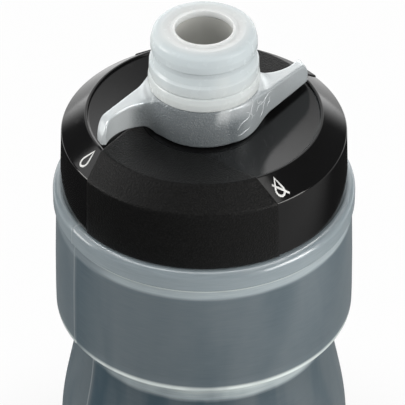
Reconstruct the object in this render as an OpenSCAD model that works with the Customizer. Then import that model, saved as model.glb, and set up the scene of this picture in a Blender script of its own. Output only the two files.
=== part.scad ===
// Squeeze bottle for a bicycle cage, with a turn-to-lock cap and a soft mouthpiece.
// Origin: centre of the base, +Z up, the cap's front grip panel faces -Y.

/* [Bottle] */
// Diameter of the lower body that stands in a bottle cage
cage_d = 73.5; // [73:0.1:75]
// Height of the straight lower body
lower_h = 78; // [60:1:88]
// Diameter of the waist under the hand band
waist_d = 63.6; // [61:0.2:65]
// Height of the waist
waist_z = 115; // [112:0.5:115]
// Diameter of the hand band at its lower edge
band_d = 73.8; // [73.4:0.1:74.4]
// Height of the hand band's underside
band_z = 118.6; // [118.6:0.1:120]
// Height of the crease between the band and the bead
crease_z = 150.1; // [149:0.1:150.6]
// Height of the shoulder that the cap comes down to
shoulder_z = 155.4; // [155:0.1:156]
// Wall thickness of the blown bottle
wall = 1.3; // [1:0.1:1.5]

/* [Neck thread] */
// Diameter of the plain neck
neck_d = 60.8; // [60:0.1:61]
// Diameter of the mouth
mouth_d = 57.2; // [55:0.1:57.6]
// Height of the neck above the shoulder
neck_h = 12.1; // [12:0.1:12.4]
// Rise of the thread in one turn
thread_pitch = 5; // [4.5:0.1:5.5]
// Height of the thread's ridge
thread_depth = 1.45; // [1.2:0.05:1.5]

/* [Cap] */
// Diameter of the cap at its shoulder
cap_d = 68.4; // [68:0.1:69]
// Height of the skirt from its lower edge to the shoulder
skirt_h = 15.1; // [15:0.1:15.5]
// Diameter of the dish edge
dish_d = 56.8; // [56:0.1:58]
// Rise of the slope from the shoulder to the dish edge
slope_h = 4.5; // [4:0.1:5]
// How far the soft grip panels stand proud
grip_proud = 0.3; // [0.2:0.05:0.6]
// How deep the grip panels are let into the cap
grip_inset = 0.65; // [0.5:0.05:0.8]

/* [Lock dial] */
// Diameter of the dial's hub
hub_d = 26.6; // [26:0.1:27]
// Height of the hub's top above the dish edge
hub_h = 9.4; // [9.2:0.1:9.8]
// Reach of a wing from the axis
wing_reach = 28; // [27:0.1:28.2]
// Diameter of the post that the dial turns on
post_d = 19; // [18.8:0.1:19.2]

/* [Mouthpiece] */
// Height of the mouthpiece
nozzle_h = 15; // [14.8:0.1:16]
// Diameter of the drinking hole
nozzle_bore_d = 13.6; // [13.4:0.1:13.8]

/* [Hidden] */
$fn = 96;
// Clearances: turning fit, face gap between bodies, and loose gap
run_gap = 0.05;
face_gap = 0.05;
loose_gap = 0.45;

cage_r = cage_d / 2;
waist_r = waist_d / 2;
band_r = band_d / 2;
neck_r = neck_d / 2;
mouth_r = mouth_d / 2;
neck_top = shoulder_z + neck_h;
thread_z = shoulder_z + 2;
base_round = 6;
foot_r = 27;
punt_r = 20;
punt_h = 3;
waist_round = 2;
band_round = 1.2;
band_taper = 0.75;
crease_in = 1.25;
bead_low_round = 0.8;
bead_top_round = 1.9;
rim_chamfer = 0.5;

// Cap levels
cap_bottom = shoulder_z + 0.5;
shoulder_c = cap_bottom + skirt_h;
dish_z = shoulder_c + slope_h;
cap_r = cap_d / 2;
skirt_r = cap_r + 0.7;
dish_r = dish_d / 2;
seat_r = 14.6;
seat_z = dish_z - 1.3;
gasket_t = 1.7;
seal_z = neck_top + gasket_t + 2 * face_gap;
cap_bore_r = neck_r + thread_depth + loose_gap;
deck_z = seat_z - 2.6;

// Valve levels: post, port seal, shutter and slit valve stacked on the axis
post_r = post_d / 2;
post_bore_r = 6.4;
post_top = seat_z + 7.2;
port_plate_t = 1.5;
port_in_r = 1.8;
port_out_r = 5.8;
port_angle = 80;
port_seal_r = 6.9;
port_seal_t = 0.75;
shutter_z = post_top + port_seal_t + face_gap;
shutter_t = 1.6;
ring_z = seat_z + 2.3;
ring_section = 0.8;
ring_r = post_r - 0.78;
bead_z = seat_z + 5.05;

// Dial
hub_r = hub_d / 2;
hub_bottom = seat_z + 0.35;
hub_top = dish_z + hub_h;
spout_r = 8.5;
spout_bore_r = 6.7;
// The soft lip stands this far above the rigid spout
spout_drop = 1.4;
spout_top = hub_top + nozzle_h - spout_drop;
slit_z = shutter_z + shutter_t;

// Wing plan in its own frame, with the wing along +X
wing_tangent = 12.5;
wing_lean = 24.45;
wing_hollow_r = 10.6;
wing_hollow = [18.8, 9.3];
wing_bearing = 38.5;
wing_under = dish_z + 0.1;
wing_over = dish_z + 7.6;
wing_slope_r = 26.2;
wing_slope_z = dish_z + 6.6;
wing_end_z = dish_z + 3.2;

// Seams of the grip panels: straight lines tangent to a circle round the hub
seam_r = 12.3;
seam_half = 41.3;
seam_swirl = 21.2;
seam_reach = 55;
grip_inner_r = 15.2;

// Lock marks on the slope: bearing from the front and size
mark_bearings = [-49, 45];
mark_r = 32.1;
mark_round = 1.28;
mark_long = 2.7;
mark_line = 0.45;
mark_proud = 0.12;
mark_bar_l = 4.3;
mark_bar_turn = 52;
mark_bar_at = [-0.25, 0.33];

// Points of an arc round c, from angle a0 to a1
function arc(c, r, a0, a1, n = 6) =
    [for (i = [0:n]) let (a = a0 + (a1 - a0) * i / n) c + r * [cos(a), sin(a)]];

// Points of the flare between the lower body and the waist, drawn in by inset
function flare(inset, n = 10) =
    [for (i = [0:n])
        let (u = i / n)
        [cage_r - inset - (cage_r - waist_r) * (1 - cos(180 * u)) / 2, lower_h + (waist_z - lower_h) * u]];

function reversed(v) = [for (i = [len(v) - 1:-1:0]) v[i]];

// Outside of the cap from the skirt's edge to the dial's seat, moved out by off
function cap_skin(off) = concat(
    [[skirt_r + off, cap_bottom]],
    arc([cap_r - 0.8, shoulder_c - 0.6], 0.8 + off, 5, 50, 3),
    [[dish_r + 0.3 * off, dish_z + off], [seat_r, seat_z + 0.1 + off]]);

module lathe(points) rotate_extrude() polygon(points);

// Thread as near-helical lugs with vent gaps between them; side is 1 outside, -1 inside
module thread(root_r, side, z, lugs) {
    lug_step = 60;
    lug_angle = 50;
    tilt = atan(thread_pitch / (2 * PI * root_r));
    root = root_r - side * 0.6;
    crest = root_r + side * thread_depth;
    for (i = [0:lugs - 1])
        translate([0, 0, z + thread_pitch * i * lug_step / 360])
            rotate([0, 0, i * lug_step])
                rotate([tilt, 0, 0])
                    rotate([0, 0, -lug_angle / 2])
                        rotate_extrude(angle = lug_angle)
                            polygon([[root, -1.1], [crest, -0.55], [crest, 0.55], [root, 1.1]]);
}

module bottle() {
    outside = concat(
        [[0, punt_h], [punt_r, punt_h], [foot_r, 0]],
        arc([cage_r - base_round, base_round], base_round, -90, 0),
        flare(0),
        arc([waist_r + waist_round, waist_z + 1.4], waist_round, 180, 95, 5),
        arc([band_r - band_round, band_z + band_round], band_round, -85, 0, 5),
        [[band_r, band_z + 5], [band_r - band_taper / 3, band_z + 16], [band_r - band_taper, crease_z - 2.3],
         [band_r - crease_in, crease_z - 0.2], [band_r - crease_in, crease_z]],
        arc([cage_r - bead_low_round, crease_z + 0.9], bead_low_round, -80, 0, 4),
        arc([cage_r - bead_top_round, shoulder_z - bead_top_round], bead_top_round, 0, 90),
        [[neck_r + 0.6, shoulder_z], [neck_r, shoulder_z + 0.6], [neck_r, neck_top - rim_chamfer],
         [neck_r - rim_chamfer, neck_top]]);
    inside = concat(
        [[0, punt_h + wall], [punt_r - 0.4, punt_h + wall], [foot_r + 0.6, wall]],
        arc([cage_r - base_round, base_round], base_round - wall, -90, 0),
        flare(wall),
        [[waist_r - wall, band_z - 1], [waist_r + 0.5, band_z + wall], [band_r - 2.6, band_z + wall],
         [band_r - wall, band_z + 3], [band_r - band_taper - wall, crease_z - 2.4],
         [band_r - crease_in - wall, crease_z],
         [cage_r - 2.1, crease_z + 1.5], [cage_r - 3, shoulder_z - 2.6], [mouth_r, shoulder_z - 2],
         [mouth_r, neck_top - rim_chamfer], [mouth_r + rim_chamfer, neck_top]]);
    color([0.42, 0.45, 0.50])
        union() {
            lathe(concat(outside, reversed(inside)));
            thread(neck_r, 1, thread_z, 11);
        }
}

module cap_gasket()
    color([0.75, 0.76, 0.78])
        translate([0, 0, neck_top + face_gap])
            difference() {
                cylinder(h = gasket_t, r = neck_r + 0.9);
                translate([0, 0, -1]) cylinder(h = gasket_t + 2, r = mouth_r - 0.6);
            }

// Plan of one grip panel, at the front
module grip_plan() {
    bearings = [-90 + seam_swirl - seam_half, -90 + seam_swirl + seam_half];
    inner = [for (b = bearings) seam_r * [sin(b), -cos(b)]];
    outer = [for (i = [0, 1]) inner[i] + seam_reach * [cos(bearings[i]), sin(bearings[i])]];
    difference() {
        polygon([inner[0], outer[0], outer[1], inner[1]]);
        circle(r = grip_inner_r);
    }
}

// A grip panel turned to its side of the cap
module grip_panel(turn)
    rotate([0, 0, turn])
        intersection() {
            translate([0, 0, cap_bottom - 1]) linear_extrude(height = skirt_h + slope_h + 4) grip_plan();
            lathe(concat(cap_skin(grip_proud), reversed(cap_skin(-grip_inset))));
        }

// Two opposite ports, as a cutter through a plate
module ports(z, h)
    for (turn = [0, 180])
        translate([0, 0, z - 0.5])
            rotate([0, 0, turn - port_angle / 2])
                rotate_extrude(angle = port_angle)
                    translate([port_in_r, 0]) square([port_out_r - port_in_r, h + 1]);

module cap() {
    section = concat(
        cap_skin(0),
        [[seat_r - 0.3, seat_z], [post_r, seat_z],
         [post_r, ring_z - 0.85], [post_r - 1.6, ring_z - 0.85],
         [post_r - 1.6, ring_z + 0.85], [post_r, ring_z + 0.85],
         [post_r, bead_z - 0.6], [post_r + 0.4, bead_z - 0.2],
         [post_r + 0.4, bead_z + 0.2], [post_r, bead_z + 0.6],
         [post_r, post_top - 0.4], [post_r - 0.4, post_top], [0, post_top],
         [0, post_top - port_plate_t], [post_bore_r, post_top - port_plate_t], [post_bore_r, deck_z],
         [mouth_r - 3, deck_z], [mouth_r - 2.4, seal_z], [cap_bore_r, seal_z],
         [cap_bore_r, cap_bottom + 1], [cap_bore_r + 0.5, cap_bottom]]);
    color([0.05, 0.05, 0.055])
        union() {
            difference() {
                lathe(section);
                grip_panel(0);
                grip_panel(180);
                ports(post_top - port_plate_t, port_plate_t);
            }
            thread(cap_bore_r, -1, thread_z + thread_pitch / 2, 6);
        }
}

module front_grip() color([0.12, 0.12, 0.125]) grip_panel(0);

module rear_grip() color([0.12, 0.12, 0.125]) grip_panel(180);

// Outline of a drop with its point towards the axis, grown by grow
module drop(grow) {
    r = mark_round + grow;
    tip = mark_long + 1.4 * grow;
    lean = acos(r / tip);
    polygon(concat([[-tip, 0]], arc([0, 0], r, -180 + lean, 180 - lean, 20)));
}

// A mark of printed line on the slope; barred adds the stroke across it
module lock_mark(bearing, barred)
    color([0.85, 0.86, 0.86])
        intersection() {
            rotate([0, 0, bearing - 90])
                translate([mark_r, 0, shoulder_c])
                    linear_extrude(height = slope_h + 2)
                        union() {
                            difference() {
                                drop(0);
                                drop(-mark_line);
                            }
                            if (barred)
                                translate(mark_bar_at)
                                    rotate(mark_bar_turn) square([mark_bar_l, mark_line], center = true);
                        }
            lathe(concat(cap_skin(mark_proud), reversed(cap_skin(0))));
        }

module open_mark() lock_mark(mark_bearings[0], false);

module closed_mark() lock_mark(mark_bearings[1], true);

module dial_o_ring()
    color([0.08, 0.08, 0.08])
        translate([0, 0, ring_z])
            rotate_extrude() translate([ring_r, 0]) circle(r = ring_section, $fn = 32);

module port_seal()
    color([0.80, 0.81, 0.82])
        difference() {
            translate([0, 0, post_top]) cylinder(h = port_seal_t, r = port_seal_r);
            ports(post_top, port_seal_t);
        }

// Plan of one wing along +X: a straight side tangent to the hub and a hollow side
module wing_plan() {
    along = [cos(wing_lean), sin(wing_lean)];
    foot = wing_tangent * [sin(wing_lean), -cos(wing_lean)];
    tip = foot + along * (wing_reach - foot.x) / along.x;
    difference() {
        polygon([[0, 0], foot, tip, [wing_reach, 3.6], [10, 8]]);
        translate(wing_hollow) circle(r = wing_hollow_r);
        circle(r = post_r + 2.4);
    }
}

module wing() {
    intersection() {
        translate([0, 0, dish_z - 1]) linear_extrude(height = hub_h + 2) wing_plan();
        lathe([[5, wing_under], [wing_reach + 1, wing_under + 1.1], [wing_reach + 1, wing_end_z - 1.2],
               [wing_reach, wing_end_z],
               [wing_slope_r, wing_slope_z], [5, wing_over]]);
    }
}

module lock_dial() {
    bore_r = post_r + run_gap;
    section = [[bore_r, hub_bottom], [hub_r - 0.3, hub_bottom], [hub_r, hub_bottom + 0.4],
               [hub_r + 0.2, hub_bottom + 4], [hub_r - 0.1, hub_top - 0.6], [hub_r - 0.5, hub_top],
               [spout_r, hub_top], [spout_r, spout_top - 0.5], [spout_r - 0.5, spout_top],
               [spout_bore_r + 0.3, spout_top], [spout_bore_r, spout_top - 0.4], [spout_bore_r, slit_z],
               [0, slit_z], [0, shutter_z], [bore_r, shutter_z],
               [bore_r, bead_z + 0.9], [bore_r + 0.65, bead_z + 0.5], [bore_r + 0.65, bead_z - 0.5],
               [bore_r, bead_z - 0.9]];
    color([0.62, 0.63, 0.65])
        difference() {
            union() {
                lathe(section);
                for (turn = [0, 180])
                    rotate([0, 0, wing_bearing + turn]) wing();
            }
            ports(shutter_z, shutter_t);
        }
}

module slit_valve() {
    rim_h = 2.4;
    membrane_t = 0.8;
    slit_l = 7;
    slit_w = 0.3;
    color([0.86, 0.87, 0.88])
        difference() {
            lathe([[5, slit_z], [spout_bore_r, slit_z], [spout_bore_r, slit_z + rim_h], [5.6, slit_z + rim_h],
                   [4.8, slit_z + rim_h - 0.6], [0, slit_z + rim_h - 1], [0, slit_z + rim_h - 1 - membrane_t],
                   [4.6, slit_z + rim_h - 0.6 - membrane_t]]);
            for (turn = [0, 90])
                rotate([0, 0, turn])
                    translate([-slit_l / 2, -slit_w / 2, slit_z]) cube([slit_l, slit_w, rim_h]);
        }
}

module mouthpiece() {
    base = hub_top + 0.1;
    top = hub_top + nozzle_h + 0.1;
    sleeve_r = spout_r + 0.15;
    lip_r = nozzle_bore_d / 2;
    lip_round = 0.3;
    color([0.85, 0.86, 0.88])
        lathe(concat(
            [[sleeve_r, base], [hub_r - 0.1, base], [hub_r, base + 0.3], [hub_r - 0.05, base + 1.6],
             [hub_r - 0.3, base + 3.3], [hub_r - 0.3, base + 3.7], [hub_r - 0.5, base + 6.3],
             [hub_r - 1, base + 8.6], [hub_r - 1, base + 9.8], [hub_r - 0.7, base + 10.4],
             [hub_r - 0.75, base + 11.3]],
            arc([hub_r - 2.8, top - 1.6], 1.6, 15, 80, 5),
            [[lip_r + 1.6, top]],
            arc([lip_r + lip_round, top - lip_round], lip_round, 90, 180, 4),
            [[lip_r, spout_top + 0.15], [sleeve_r, spout_top + 0.15]]));
}

bottle();
cap_gasket();
cap();
front_grip();
rear_grip();
open_mark();
closed_mark();
dial_o_ring();
port_seal();
lock_dial();
slit_valve();
mouthpiece();
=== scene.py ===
"""Looks of a bicycle water bottle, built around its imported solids.

Lengths in the classes are millimetres in the part's own frame: +Z up from the base, and -Y
towards the cap's front grip panel. Meshes are written in metres.
"""

from __future__ import annotations

import logging
import math
from dataclasses import dataclass, field
from enum import Enum
from typing import Any, Callable, ClassVar, Optional, Sequence, Union

import bpy
import numpy as np
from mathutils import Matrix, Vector

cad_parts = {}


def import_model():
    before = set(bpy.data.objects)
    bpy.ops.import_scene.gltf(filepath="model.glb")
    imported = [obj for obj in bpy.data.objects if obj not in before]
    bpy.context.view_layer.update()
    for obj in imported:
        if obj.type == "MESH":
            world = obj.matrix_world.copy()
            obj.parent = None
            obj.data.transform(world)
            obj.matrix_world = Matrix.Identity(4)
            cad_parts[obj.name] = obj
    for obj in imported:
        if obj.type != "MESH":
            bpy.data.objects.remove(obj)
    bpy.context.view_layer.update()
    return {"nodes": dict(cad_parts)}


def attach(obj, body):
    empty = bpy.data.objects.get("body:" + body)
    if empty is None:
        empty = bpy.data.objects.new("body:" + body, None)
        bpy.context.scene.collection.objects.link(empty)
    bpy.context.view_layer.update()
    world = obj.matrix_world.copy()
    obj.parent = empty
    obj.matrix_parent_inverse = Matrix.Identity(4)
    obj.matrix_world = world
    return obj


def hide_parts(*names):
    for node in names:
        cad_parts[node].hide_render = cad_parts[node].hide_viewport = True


LOG = logging.getLogger("bottle")
MM = 0.001
# Turn of the mould's parting plane from +X, and the screw thread of neck and cap
PARTING_DEG = 42.5
THREAD_PITCH = 5.0
THREAD_DEPTH = 1.45

Point = tuple[float, float]
Point3 = tuple[float, float, float]
Corner = Point3
Colour = Point3
Faces = list[list[int]]


class Body(Enum):
    """Bodies of the part that pieces ride on."""

    BOTTLE = "bottle"
    CAP = "cap"
    DIAL = "dial"
    MOUTHPIECE = "mouthpiece"


class Slot(Enum):
    """Material slots named for the new pieces."""

    BOTTLE = "smoky_bottle"
    GLOSS = "gloss_black"
    MATTE = "matte_black"
    PRINT = "white_print"
    SILVER = "silver_plastic"
    SILICONE = "milky_silicone"


class Ray(Enum):
    """Kinds of ray that light comes by."""

    CAMERA = "Is Camera Ray"
    DIFFUSE = "Is Diffuse Ray"
    GLOSSY = "Is Glossy Ray"
    TRANSMISSION = "Is Transmission Ray"


# Shader maths


Value = Union["Sock", float, int]


class Sock:
    """An output socket that takes part in Python arithmetic."""

    def __init__(self, graph: "Graph", socket: bpy.types.NodeSocket) -> None:
        """Wrap a socket of a graph."""
        self.graph = graph
        self.socket = socket

    def _math(self, operation: str, a: Value, b: Value) -> "Sock":
        """Add one Math node for an operation on two values."""
        return self.graph.node("ShaderNodeMath", {"operation": operation}, {0: a, 1: b})

    def __add__(self, other: Value) -> "Sock":
        """Sum."""
        return self._math("ADD", self, other)

    def __sub__(self, other: Value) -> "Sock":
        """Difference."""
        return self._math("SUBTRACT", self, other)

    def __rsub__(self, other: Value) -> "Sock":
        """Difference with the socket on the right."""
        return self._math("SUBTRACT", other, self)

    def __mul__(self, other: Value) -> "Sock":
        """Product."""
        return self._math("MULTIPLY", self, other)

    __radd__ = __add__
    __rmul__ = __mul__

    def __abs__(self) -> "Sock":
        """Absolute value."""
        return self._math("ABSOLUTE", self, 0.0)

    def maximum(self, other: Value) -> "Sock":
        """Larger of two values."""
        return self._math("MAXIMUM", self, other)

    def ease(self, low: float, high: float) -> "Sock":
        """Smooth step from 0 at low to 1 at high; low may be the larger."""
        inputs = {"Value": self, "From Min": low, "From Max": high}
        return self.graph.node("ShaderNodeMapRange", {"interpolation_type": "SMOOTHSTEP"}, inputs)


class Graph:
    """A node tree under construction."""

    def __init__(self, tree: bpy.types.NodeTree) -> None:
        """Empty the tree."""
        self.tree = tree
        tree.nodes.clear()

    def node(self, kind: str, settings: dict[str, Any], inputs: dict[Any, Any], output: Any = 0) -> Sock:
        """Add a node.

        Args:
            kind: Type name of the node.
            settings: Properties that are set first; "stops" sets a ramp's (place, colour) pairs.
            inputs: Values or links by socket name or number.
            output: Name or number of the output that is returned.

        Returns:
            The chosen output.
        """
        made = self.tree.nodes.new(kind)
        for name, value in settings.items():
            if name == "stops":
                self._stops(made, value)
            else:
                setattr(made, name, value)
        for name, value in inputs.items():
            if isinstance(value, Sock):
                self.tree.links.new(value.socket, made.inputs[name])
            else:
                made.inputs[name].default_value = value
        chosen = made.outputs[output] if len(made.outputs) else None
        return Sock(self, chosen)

    @staticmethod
    def _stops(made: bpy.types.Node, stops: Sequence[tuple[float, Colour]]) -> None:
        """Set the stops of a colour ramp.

        Args:
            made: Node of the ramp.
            stops: Place and colour of each stop.
        """
        elements = made.color_ramp.elements
        while len(elements) > 1:
            elements.remove(elements[-1])
        for index, (place, colour) in enumerate(stops):
            element = elements[0] if index == 0 else elements.new(place)
            element.position = place
            element.color = (*colour, 1.0)

    def place(self) -> Sock:
        """Position in the part's frame, in metres."""
        return self.node("ShaderNodeTexCoord", {}, {}, "Object")

    def axes(self) -> tuple[Sock, Sock, Sock]:
        """The three numbers of the position, in millimetres."""
        split = self.node("ShaderNodeSeparateXYZ", {}, {0: self.place()})
        x, y, z = (Sock(self, output) * (1.0 / MM) for output in split.socket.node.outputs)
        return x, y, z

    def along(self, place: Sock, way: Vector) -> Sock:
        """How far a place lies along a way."""
        inputs = {0: place, 1: tuple(way)}
        return self.node("ShaderNodeVectorMath", {"operation": "DOT_PRODUCT"}, inputs, "Value")

    def ray(self, kind: Ray) -> Sock:
        """Whether the light comes by a kind of ray."""
        return self.node("ShaderNodeLightPath", {}, {}, kind.value)

    def seen(self) -> Sock:
        """Whether the light comes straight to the camera or through clear plastic."""
        return self.ray(Ray.CAMERA).maximum(self.ray(Ray.TRANSMISSION))

    def noise(self, scale: float, detail: float = 2.0, distortion: float = 0.0,
              stretch: Optional[Point] = None) -> Sock:
        """Noise value round 0.5.

        Args:
            scale: Cells per metre.
            detail: Octaves.
            distortion: Warp of the pattern.
            stretch: Scale across and along the axis, where the grain has a direction.

        Returns:
            The noise.
        """
        at = self.place()
        if stretch is not None:
            factors = (stretch[0], stretch[0], stretch[1])
            at = self.node("ShaderNodeVectorMath", {"operation": "MULTIPLY"}, {0: at, 1: factors})
        inputs = {"Vector": at, "Scale": scale, "Detail": detail, "Distortion": distortion}
        return self.node("ShaderNodeTexNoise", {}, inputs, "Fac")

    def flakes(self, scale: float) -> Sock:
        """A random level in each small cell."""
        cells = self.node("ShaderNodeTexVoronoi", {}, {"Vector": self.place(), "Scale": scale}, "Color")
        return self.node("ShaderNodeSeparateColor", {}, {0: cells})

    def mix(self, share: Value, first: Any, second: Any) -> Sock:
        """Blend two colours; a plain colour is a triple."""
        colours = [c if isinstance(c, Sock) else (*c, 1.0) for c in (first, second)]
        return self.node("ShaderNodeMix", {"data_type": "RGBA"}, {0: share, 6: colours[0], 7: colours[1]}, 2)

    def bump(self, height: Sock, depth_mm: float, strength: float = 1.0,
             under: Optional[Sock] = None) -> Sock:
        """Normal from a height of that depth.

        Args:
            height: Height between 0 and 1.
            depth_mm: Depth that 1 stands for.
            strength: Share of the effect.
            under: Normal that it is laid on.

        Returns:
            The normal.
        """
        inputs: dict[Any, Any] = {"Height": height, "Distance": depth_mm * MM, "Strength": strength}
        if under is not None:
            inputs["Normal"] = under
        return self.node("ShaderNodeBump", {}, inputs)


@dataclass(frozen=True)
class Finish:
    """A surface finish that becomes one material.

    Attributes:
        name: Name of the material.
        colour: Base colour.
        roughness: Middle roughness.
        fixed: Sockets of the shader that are the same all over.
    """

    name: str
    colour: Colour
    roughness: float
    fixed: dict[str, Any] = field(default_factory=dict)

    def material(self) -> bpy.types.Material:
        """Make the material once and return it.

        Returns:
            The material.
        """
        known = bpy.data.materials.get(self.name)
        if known is not None:
            return known
        made = bpy.data.materials.new(self.name)
        made.use_nodes = True
        graph = Graph(made.node_tree)
        shader = graph.node("ShaderNodeBsdfPrincipled", {}, {"Base Color": (*self.colour, 1.0), **self.fixed})
        graph.node("ShaderNodeOutputMaterial", {}, {"Surface": shader})
        for socket, value in self.detail(graph).items():
            graph.tree.links.new(value.socket, shader.socket.node.inputs[socket])
        return made

    def uneven(self, graph: Graph, scale: float, amount: float) -> Sock:
        """Roughness that wanders by an amount."""
        return self.roughness + (graph.noise(scale) - 0.5) * amount

    def detail(self, graph: Graph) -> dict[str, Sock]:
        """Inputs that change over the surface: here a slightly uneven gloss."""
        return {"Roughness": self.uneven(graph, 260.0, 0.08)}


def facing(x: Sock, y: Sock, bearing: float) -> Sock:
    """Distance from the axis towards a bearing, in degrees from the front to the right."""
    turn = math.radians(bearing)
    return x * math.sin(turn) - y * math.cos(turn)


class SmokyBottle(Finish):
    """Smoke-grey polyethylene with painted light and shade by height: painted highlight lines and painted
    glow at the ledges and on the bead.
    """

    # Paleness by height, painted light and shade: a painted highlight line at the band's lower edge and one
    # just below the crease, painted glow on the strips under the band and under the bead and on the bead, and
    # a painted dark line at the crease; the wall below the lower strip is darker.
    PAINTED_LIGHT_TONES: ClassVar[tuple[Point, ...]] = (
        (105.0, 0.8), (111.0, 0.8), (112.2, 3.2), (113.6, 3.3), (114.2, 4.0), (117.8, 4.0), (118.8, 5.4),
        (119.9, 5.4), (120.7, 1.1), (123.0, 0.94), (146.9, 1.0), (147.8, 2.55), (149.3, 2.65), (149.5, 4.4),
        (149.8, 4.4), (150.0, 1.2), (150.25, 1.3), (150.5, 1.95), (151.2, 2.0), (153.6, 1.9), (156.0, 1.7))
    DEEP: ClassVar[Colour] = (0.032, 0.060, 0.080)
    RIDGE: ClassVar[Colour] = (0.40, 0.43, 0.44)

    def detail(self, graph: Graph) -> dict[str, Sock]:
        """Colour by height and by the mould's parting, with flow in the wall and a soft uneven gloss; the
        colour by height is painted light and shade, and so is a dark band beside the parting.

        Args:
            graph: Node tree of the material.

        Returns:
            Values by the shader's socket.
        """
        x, y, z = graph.axes()
        low, high = self.PAINTED_LIGHT_TONES[0][0], self.PAINTED_LIGHT_TONES[-1][0]
        wander = (graph.noise(60.0, 3.0) - 0.5) * 0.25
        share = (z + wander - low) * (1.0 / (high - low))
        stops = [((at - low) / (high - low), self.tone(level)) for at, level in self.PAINTED_LIGHT_TONES]
        # The ramp paints light and shade by height.
        body = graph.node("ShaderNodeValToRGB", {"stops": stops}, {0: share})
        aside = facing(x, y, PARTING_DEG)
        # Painted shade: a darker band a few millimetres wide on one side of the parting plane, below the
        # bead's strip.
        painted_dark_band = aside.ease(0.4, 1.4) * aside.ease(12.0, 3.0) * z.ease(147.6, 146.4)
        streak = graph.noise(130.0, 3.0, 0.0, (1.0, 0.05)).ease(0.4, 0.65) * z.ease(112.6, 110.6)
        cloud = graph.noise(45.0, 3.0, 0.4, (1.0, 0.35)).ease(0.35, 0.7) * z.ease(148.0, 146.4)
        grain = graph.noise(3200.0, 1.0, 0.0, (0.06, 1.0))
        shade = painted_dark_band * 0.5 + streak * 0.45 + cloud * 0.42 + grain * 0.26
        # Painted shade: on the other side of the parting plane the painted glow of the strip under the bead
        # is toned down.
        strip_in_shade = aside.ease(16.0, 5.0) * z.ease(149.4, 149.0) * z.ease(146.0, 147.0)
        ridge = abs(aside).ease(0.34, 0.1) * z.ease(6.0, 14.0)
        wall = graph.mix(shade, graph.mix(strip_in_shade, body, self.tone(1.5)), self.DEEP)
        waves = graph.bump(graph.noise(70.0, 2.0), 0.25, 0.3)
        return {
            "Base Color": graph.mix(ridge * 0.4, wall, self.RIDGE),
            "Roughness": self.uneven(graph, 300.0, 0.08),
            "Normal": graph.bump(grain, 0.004, 0.3, waves),
        }

    def tone(self, level: float) -> Colour:
        """Colour of the wall at a level of painted light; the palest, painted highlights, are warmed and lose
        their blue.

        Args:
            level: Paleness from painted light, where 1 is the plain wall.

        Returns:
            The colour.
        """
        # The palest levels, painted highlights, are warmed.
        warm = min(1.0, max(0.0, (level - 1.0) / 3.5))
        red, green, blue = (channel * level for channel in self.colour)
        return red * (1.0 + 0.14 * warm), green * (1.0 + 0.03 * warm), blue * (1.0 - 0.09 * warm)


class GlossBlack(Finish):
    """Polished black plastic with faint handling marks."""

    def detail(self, graph: Graph) -> dict[str, Sock]:
        """Fine scuffs in the gloss and a trace of moulding ripple.

        Args:
            graph: Node tree of the material.

        Returns:
            Values by the shader's socket.
        """
        scuffs = graph.noise(420.0, 6.0, 1.5).ease(0.58, 0.75)
        return {
            "Base Color": graph.mix(graph.noise(90.0, 3.0), self.colour, (0.006, 0.006, 0.0062)),
            "Roughness": self.roughness + scuffs * 0.1,
            "Normal": graph.bump(graph.noise(160.0, 1.0), 0.05, 0.12),
        }


class MatteGrip(Finish):
    """Black panel with the fine spark-eroded grain of a textured mould."""

    def detail(self, graph: Graph) -> dict[str, Sock]:
        """Grain in the normal and in the colour.

        Args:
            graph: Node tree of the material.

        Returns:
            Values by the shader's socket.
        """
        grain = graph.noise(2400.0, 3.0)
        return {
            "Base Color": graph.mix(grain.ease(0.4, 0.7), self.colour, (0.010, 0.010, 0.0098)),
            "Roughness": self.uneven(graph, 700.0, 0.16),
            "Normal": graph.bump(grain, 0.2, 0.85),
        }


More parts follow.
